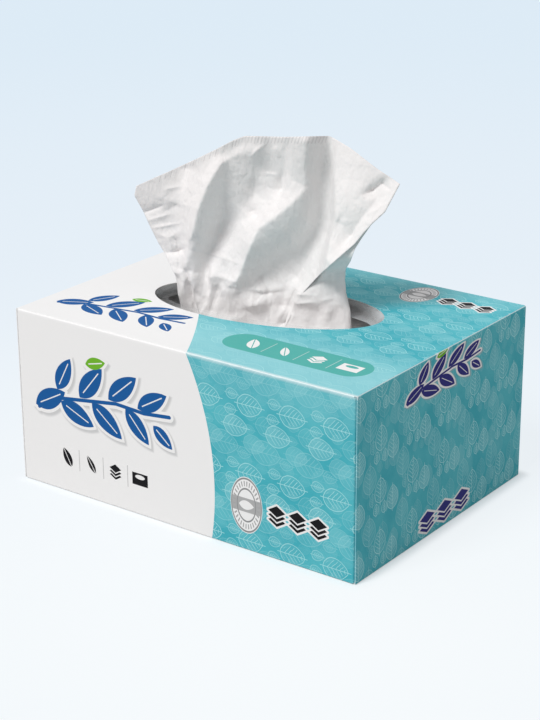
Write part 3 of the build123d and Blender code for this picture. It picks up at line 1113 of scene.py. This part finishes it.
def noiseField(along, up, scaleAlong, scaleUp, seed, octaves=3):
    out = np.empty(along.size)
    for index, (a, u) in enumerate(zip(along.ravel(), up.ravel())):
        out[index] = noise.fractal(Vector((a / scaleAlong, u / scaleUp, seed * 7.3)), 0.8, 2.1, octaves)
    return out.reshape(along.shape)


def sheetRelief(along, up, hemWidth):
    # folds, creases, a little crumple near the gathered foot, and the hem that rises to the right edge
    values = reliefValues
    low = np.clip(1 - (up + values["footAt"]) / values["footReach"], 0, 1)
    depth = foldDepth(along, up) + creaseDepth(along, up, creases)
    everywhere, more = values["fine"]
    depth += noiseField(along, up, *values["fineGrain"], 2) * (everywhere + more * low)
    everywhere, more = values["ridges"]
    ridged = 1 - np.abs(noiseField(along, up, *values["ridgeGrain"], 3, 2))
    depth += ridged ** 3 * (everywhere + more * low)
    if hemWidth:
        reach = nearestOnLine(hemLine, along, up)[0]
        depth += values["hemSlope"] * np.clip(hemWidth - reach, 0, hemWidth)
    return depth


def frontPanel(values):
    # a grid between the panel's four edges
    rows = np.linspace(0, 1, values["rows"])
    shares = np.linspace(0, 1, values["columns"])
    left = alongCurve(outlineLeft, rows)
    upRight = values["foot"] + rows * (hemLine[-1][1] - values["foot"])
    right = np.c_[atHeight(hemLine, upRight), upRight]
    top = alongCurve(outlineTop, shares)
    footAlong = np.interp(shares, (0, 1), (left[0, 0], right[0, 0]))
    foot = np.c_[footAlong, np.full(shares.size, values["foot"])]
    s, t = np.meshgrid(shares, rows)
    panel = []
    for axis in (0, 1):
        sides = (1 - s) * left[:, axis][:, None] + s * right[:, axis][:, None]
        ends = (1 - t) * foot[:, axis][None, :] + t * top[:, axis][None, :]
        corners = ((1 - s) * (1 - t) * left[0, axis] + s * (1 - t) * right[0, axis]
                   + (1 - s) * t * left[-1, axis] + s * t * right[-1, axis])
        panel.append(sides + ends - corners)
    return panel


def pleatBehindHem(edge, gapped, values, strip):
    # behind the hem the sheet turns back under itself
    edgeAlong, edgeUp, edgeDepth = edge
    back = np.linspace(0, 1, values["pleatColumns"] + 1)[1:]
    along = edgeAlong - values["tuck"] * gapped * back
    up = np.repeat(edgeUp, back.size, axis=1)
    fall = edgeDepth - sheetRelief(edgeAlong, edgeUp, 0)
    start, more = strip["pleatBack"]
    depth = sheetRelief(along, up, 0) + fall * (1 - back) ** 4 - gapped * (start + more * back)
    return along, up, depth - strip["ply"]


def stripBehindHem(edge, start, outer, gapped, values, strip):
    # from the pleat's end the sheet runs out to the right again, hidden first and then in sight
    edgeAlong, edgeUp, edgeDepth = edge
    out = np.linspace(0, 1, values["stripColumns"] + 1)[1:]
    along = start + (outer - start) * out
    up = np.repeat(edgeUp, out.size, axis=1)
    low = smoothStep((strip["lowFrom"] - up) / strip["lowOver"])
    behind, less = strip["hiddenBack"]
    hidden = sheetRelief(along, up, 0) - (behind - less * low) * gapped

    # what is in sight keeps back from the hem's edge, evened out along its height
    line, rows = edgeDepth[:, 0], strip["lowestRows"]
    lowest = np.array([line[max(0, row - rows):row + rows + 1].min() for row in range(line.size)])
    calm = np.minimum(evened(lowest, strip["calmRows"]), lowest)[:, None]
    mean = evened(line, strip["calmRows"])[:, None]
    beyond = along - edgeAlong
    outside = np.clip(beyond, 0, None)
    follow = np.exp(-outside / strip["followsOver"])
    calm = calm * (1 - low) + (mean + (edgeDepth - mean) * follow) * low
    past = along - atHeight(rearFold, edgeUp)
    shown = calm - strip["back"] * (1 - low) - strip["slope"] * outside
    shown -= strip["foldStep"] * smoothStep(past / strip["foldOver"])
    slope, more = strip["foldSlope"]
    steeper = np.clip((strip["foldSlopeFrom"] - up) / strip["foldSlopeOver"], 0, 1)
    shown -= (slope + more * steeper) * np.clip(past, 0, None)
    shown += creaseDepth(along, up, rearCreases) + noiseField(along, up, 6, 18, 5) * strip["crumple"]
    shown = shown * gapped + edgeDepth * (1 - gapped)
    shown = np.minimum(shown, edgeDepth - strip["hemGap"] + strip["hemGapLow"] * low)
    begin = strip["shownStart"]
    share = smoothStep(beyond / strip["shownOver"] + begin + (1 - begin) * low)
    return along, up, hidden * (1 - share) + shown * share


def heldBySlit(along, up, depth, values):
    # the slit holds the foot: depth is drawn in to the slit's oval below the top of the carton
    halfLong, halfWide = values["slitHalf"]
    place = np.clip(np.abs(along) / halfLong, 0, 1)
    room = np.maximum(halfWide * np.sqrt(1 - place ** 2) - values["slitGap"], values["slitEnds"])
    hold = smoothStep((values["heldFrom"] - up) / values["heldOver"])
    return depth * (1 - hold) + room * np.tanh(depth / room) * hold


def intoRoom(along, up, depth, values):
    # the relief runs towards the camera, so the folds stay where the photograph has them
    over = np.clip(up / values["rise"], 0, 1)
    turn = np.radians(values["turnFoot"] + (values["turnTop"] - values["turnFoot"]) * over)
    x = values["centre"][0] + along * np.cos(turn)
    y = values["centre"][1] + along * np.sin(turn)
    base = np.stack([x, y, values["rim"] + up], axis=-1)
    normal = np.stack([np.sin(turn), -np.cos(turn), np.zeros_like(turn)], axis=-1)
    view = np.array(cameraValues["place"]) / mm - base
    view /= np.linalg.norm(view, axis=-1, keepdims=True)
    view /= (view * normal).sum(axis=-1, keepdims=True)
    towards = np.clip((up - values["towardsFrom"]) / values["towardsOver"], 0, 1)[..., None]
    return base + depth[..., None] * (normal * (1 - towards) + view * towards)


def makePulledSheet(values, strip):
    along, up = frontPanel(values)
    front = (along, up, sheetRelief(along, up, values["hemWidth"]))
    edge = [part[:, -1:] for part in front]
    outer = atHeight(rearLine, edge[1])
    gapped = np.clip((outer - edge[0]) / strip["partsOver"], 0, 1)
    pleat = pleatBehindHem(edge, gapped, values, strip)
    rear = stripBehindHem(edge, pleat[0][:, -1:], outer, gapped, values, strip)
    along, up, depth = (np.hstack(parts) for parts in zip(front, pleat, rear))
    points = intoRoom(along, up, heldBySlit(along, up, depth, values), values)

    index = np.arange(along.size).reshape(along.shape)
    quads = np.stack([index[:-1, :-1], index[:-1, 1:], index[1:, 1:], index[1:, :-1]], axis=-1)
    mesh = bpy.data.meshes.new("pulledUpSheet")
    mesh.from_pydata((points.reshape(-1, 3) * mm).tolist(), [], quads.reshape(-1, 4).tolist())
    # the map holds the run across the sheet and the way down from its top edge, as shares of its width
    across = np.cumsum(np.r_[0, np.hypot(np.diff(along[-1]), np.diff(up[-1]))]) / sheetWidth
    down = np.linalg.norm(points - points[-1][None], axis=-1) / sheetWidth
    loops = np.array([loop.vertex_index for loop in mesh.loops])
    uv = np.stack([np.broadcast_to(across, along.shape), down], axis=-1).reshape(-1, 2)[loops]
    mesh.uv_layers.new(name="sheetMap").data.foreach_set("uv", uv.ravel())
    mesh.polygons.foreach_set("use_smooth", [True] * len(mesh.polygons))
    mesh.materials.append(crimpedPaper)
    sheet = bpy.data.objects.new("pulledUpSheet", mesh)
    scene.collection.objects.link(sheet)
    wall = sheet.modifiers.new("wall", "SOLIDIFY")
    wall.thickness = values["thickness"] * mm
    wall.offset = 0.0
    area = sum(polygon.area for polygon in mesh.polygons)
    print("pulled-up sheet: area", round(area * 1e6), "mm2,", len(mesh.polygons), "faces")
    return sheet


pulledSheet = makePulledSheet(sheetValues, stripValues)
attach(pulledSheet, "root")
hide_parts("pop_up_tissue")


stackValues = {
    "length": sheetWidth,
    "depth": 151.0,
    "bottom": 0.45,
    "height": 83.5,
    "sheets": 46,
    "sections": 13,
    "foldSteps": 6,
    "jitter": 0.8,
    "wave": 0.7,
    "seed": 3,
}


def foldedSheetMesh(values):
    # one V-folded sheet: a flat bar with round fold edges in front and behind
    thick = values["height"] / values["sheets"]
    radius = thick / 2
    reach = values["depth"] / 2 - radius - values["jitter"]
    ring = []
    for step in range(values["foldSteps"] + 1):
        angle = -math.pi / 2 + math.pi * step / values["foldSteps"]
        ring.append((reach + radius * math.cos(angle), radius * math.sin(angle)))
    inner = [(reach * share, radius) for share in (0.6, 0.2, -0.2, -0.6)]
    outline = ring + inner + [(-y, -z) for y, z in ring] + [(-y, -z) for y, z in inner]
    sections = values["sections"]
    half = values["length"] / 2 - values["jitter"]
    mesh = bpy.data.meshes.new("foldedSheet")
    tool = bmesh.new()
    loops = []
    for section in range(sections):
        x = -half + 2 * half * section / (sections - 1)
        loops.append([tool.verts.new((x * mm, y * mm, z * mm)) for y, z in outline])
    for one, two in zip(loops, loops[1:]):
        for index in range(len(outline)):
            after = (index + 1) % len(outline)
            tool.faces.new((one[index], one[after], two[after], two[index]))
    tool.faces.new(loops[0][::-1])
    tool.faces.new(loops[-1])
    bmesh.ops.recalc_face_normals(tool, faces=tool.faces)
    tool.to_mesh(mesh)
    tool.free()
    return mesh


def stackTree():
    tree = bpy.data.node_groups.new("sheetStack", "GeometryNodeTree")
    kinds = {"Geometry": "Geometry", "Sheets": "Int", "Gap": "Float", "Bottom": "Float", "Jitter": "Float",
             "Wave": "Float", "Seed": "Int"}
    for label, kind in kinds.items():
        tree.interface.new_socket(label, in_out="INPUT", socket_type="NodeSocket" + kind)
    tree.interface.new_socket("Geometry", in_out="OUTPUT", socket_type="NodeSocketGeometry")
    given = tree.nodes.new("NodeGroupInput").outputs
    line = newNode(tree, "GeometryNodeMeshLine", named={
        "Count": given["Sheets"],
        "Start Location": joinXYZ(tree, 0.0, 0.0, linear(tree, given["Gap"], 0.5, given["Bottom"])),
        "Offset": joinXYZ(tree, 0.0, 0.0, given["Gap"]),
    })
    place = newNode(tree, "GeometryNodeInstanceOnPoints", named={
        "Points": line.outputs[0], "Instance": given["Geometry"]})
    spread = joinXYZ(tree, given["Jitter"], given["Jitter"])
    shift = newNode(tree, "FunctionNodeRandomValue", data_type="FLOAT_VECTOR", named={
        "Min": vectorNode(tree, "SCALE", spread, scale=-1.0), "Max": spread, "Seed": given["Seed"]})
    move = newNode(tree, "GeometryNodeTranslateInstances", named={
        "Instances": place.outputs[0], "Translation": shift.outputs[0]})
    real = newNode(tree, "GeometryNodeRealizeInstances", move.outputs[0])
    # the sheets are soft: their edges wave a little up and down
    where = tree.nodes.new("GeometryNodeInputPosition").outputs[0]
    wave = times(tree, minus(tree, noiseNode(tree, where, 22.0, 1.0), 0.9), given["Wave"])
    position = newNode(tree, "GeometryNodeSetPosition", named={
        "Geometry": real.outputs[0], "Offset": joinXYZ(tree, 0.0, 0.0, wave)})
    finish = newNode(tree, "GeometryNodeSetMaterial", named={
        "Geometry": position.outputs[0], "Material": stackPaper})
    newNode(tree, "NodeGroupOutput", finish.outputs[0])
    return tree


def makeStack(values):
    source = bpy.data.objects.new("sheetStackSource", foldedSheetMesh(values))
    scene.collection.objects.link(source)
    modifier = source.modifiers.new("stack", "NODES")
    tree = stackTree()
    modifier.node_group = tree
    settings = {
        "Sheets": values["sheets"],
        "Gap": values["height"] / values["sheets"] * mm,
        "Bottom": values["bottom"] * mm,
        "Jitter": values["jitter"] * mm,
        "Wave": values["wave"] * mm,
        "Seed": values["seed"],
    }
    for item in tree.interface.items_tree:
        if item.in_out == "INPUT" and item.name in settings:
            modifier[item.identifier] = settings[item.name]
    bpy.context.view_layer.update()
    ready = source.evaluated_get(bpy.context.evaluated_depsgraph_get())
    mesh = bpy.data.meshes.new_from_object(ready)
    mesh.name = "foldedSheetStack"
    mesh.polygons.foreach_set("use_smooth", [True] * len(mesh.polygons))
    source.modifiers.remove(modifier)
    bpy.data.objects.remove(source)
    stack = bpy.data.objects.new("foldedSheetStack", mesh)
    scene.collection.objects.link(stack)
    print("stack of folded sheets:", len(mesh.polygons), "faces")
    return stack


sheetStack = makeStack(stackValues)
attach(sheetStack, "root")
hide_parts("tissue_stack")
